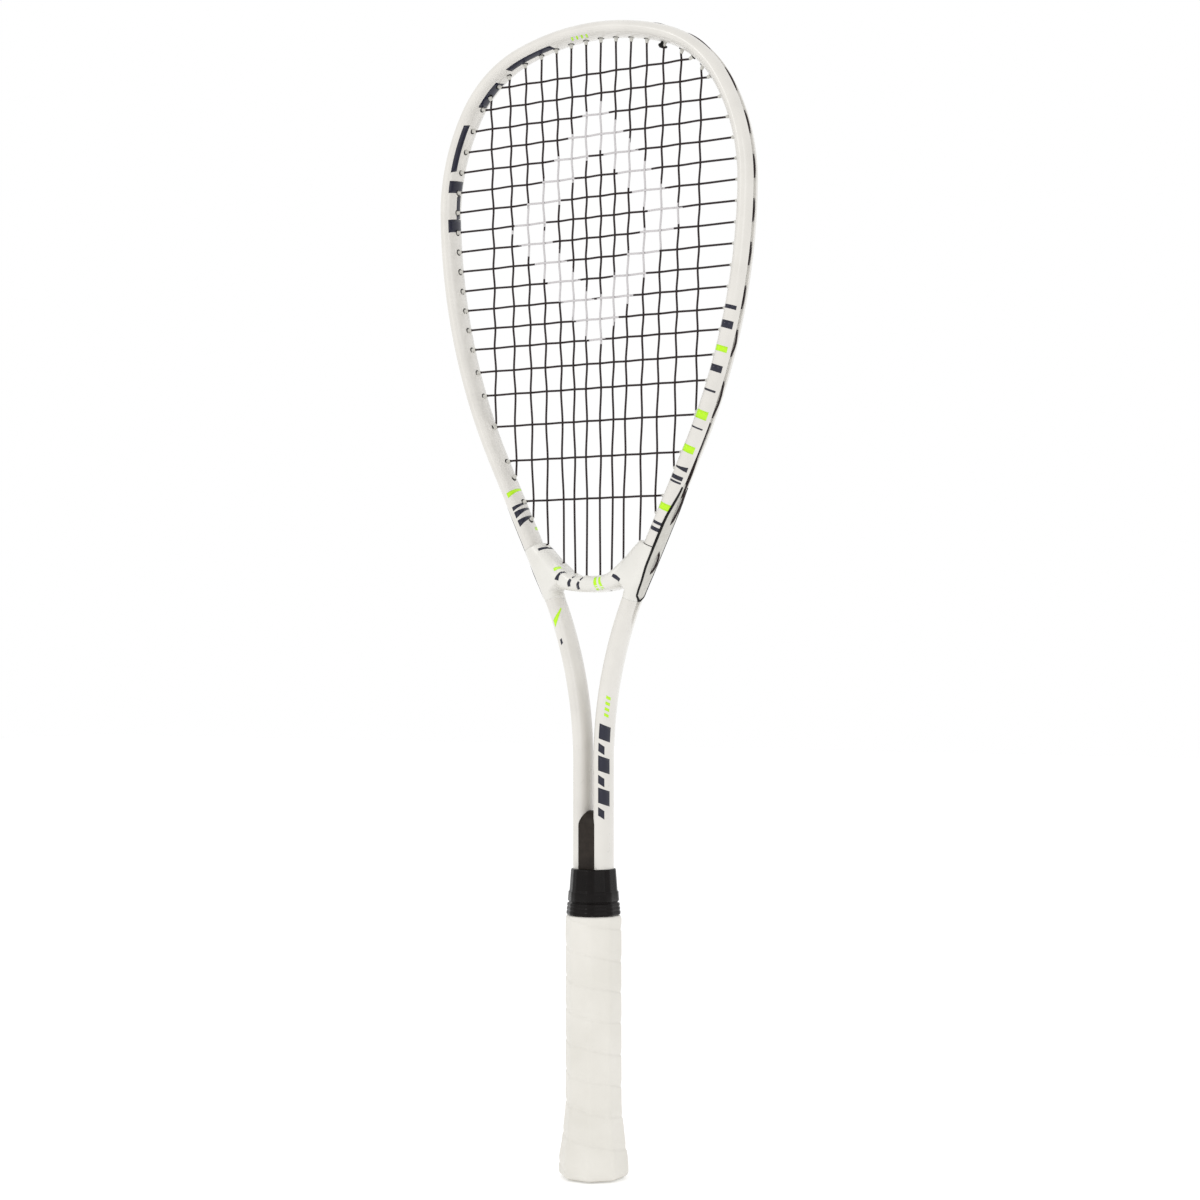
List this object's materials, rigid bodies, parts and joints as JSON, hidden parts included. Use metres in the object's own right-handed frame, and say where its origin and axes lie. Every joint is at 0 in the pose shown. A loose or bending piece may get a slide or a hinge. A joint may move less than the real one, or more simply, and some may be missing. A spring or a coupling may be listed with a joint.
{
  "type": "squash racket",
  "caption": "Squash racket with a teardrop head, open throat with a moulded yoke, woven strings and a wrapped octagonal handle with a rubber collar.",
  "frame": {"origin": "centre of the butt end's flat face", "axes": "+Z from the butt to the head; the string bed lies in the XZ plane; -Y is the front face, +Y the rear face"},
  "size_m": [0.2151, 0.0394, 0.6849],
  "materials": {
    "frame_paint": "gloss white paint",
    "yoke_plastic": "gloss white moulding",
    "strip_plastic": "satin translucent nylon",
    "string_nylon": "satin dark nylon",
    "filler_plastic": "satin black",
    "handle_plastic": "moulded",
    "cap_plastic": "satin white moulding",
    "staple_steel": "plain wire",
    "grip_foam": "matte synthetic leather wrap",
    "tape_film": "matte tape",
    "collar_rubber": "satin black rubber"
  },
  "bodies": {
    "root": {"frame_tube": "frame_paint", "throat_yoke": "yoke_plastic", "head_guard_strip": "strip_plastic", "left_grommet_strip": "strip_plastic", "right_grommet_strip": "strip_plastic", "yoke_grommet_strip": "strip_plastic", "main_string": "string_nylon", "cross_string": "string_nylon", "tie_off_knot": "string_nylon", "shaft_filler": "filler_plastic", "handle_shell_front": "handle_plastic", "handle_shell_rear": "handle_plastic", "butt_cap": "cap_plastic", "cap_staple_front": "staple_steel", "cap_staple_rear": "staple_steel", "grip_wrap": "grip_foam", "finishing_tape": "tape_film", "grip_collar": "collar_rubber"}
  },
  "joints": []
}
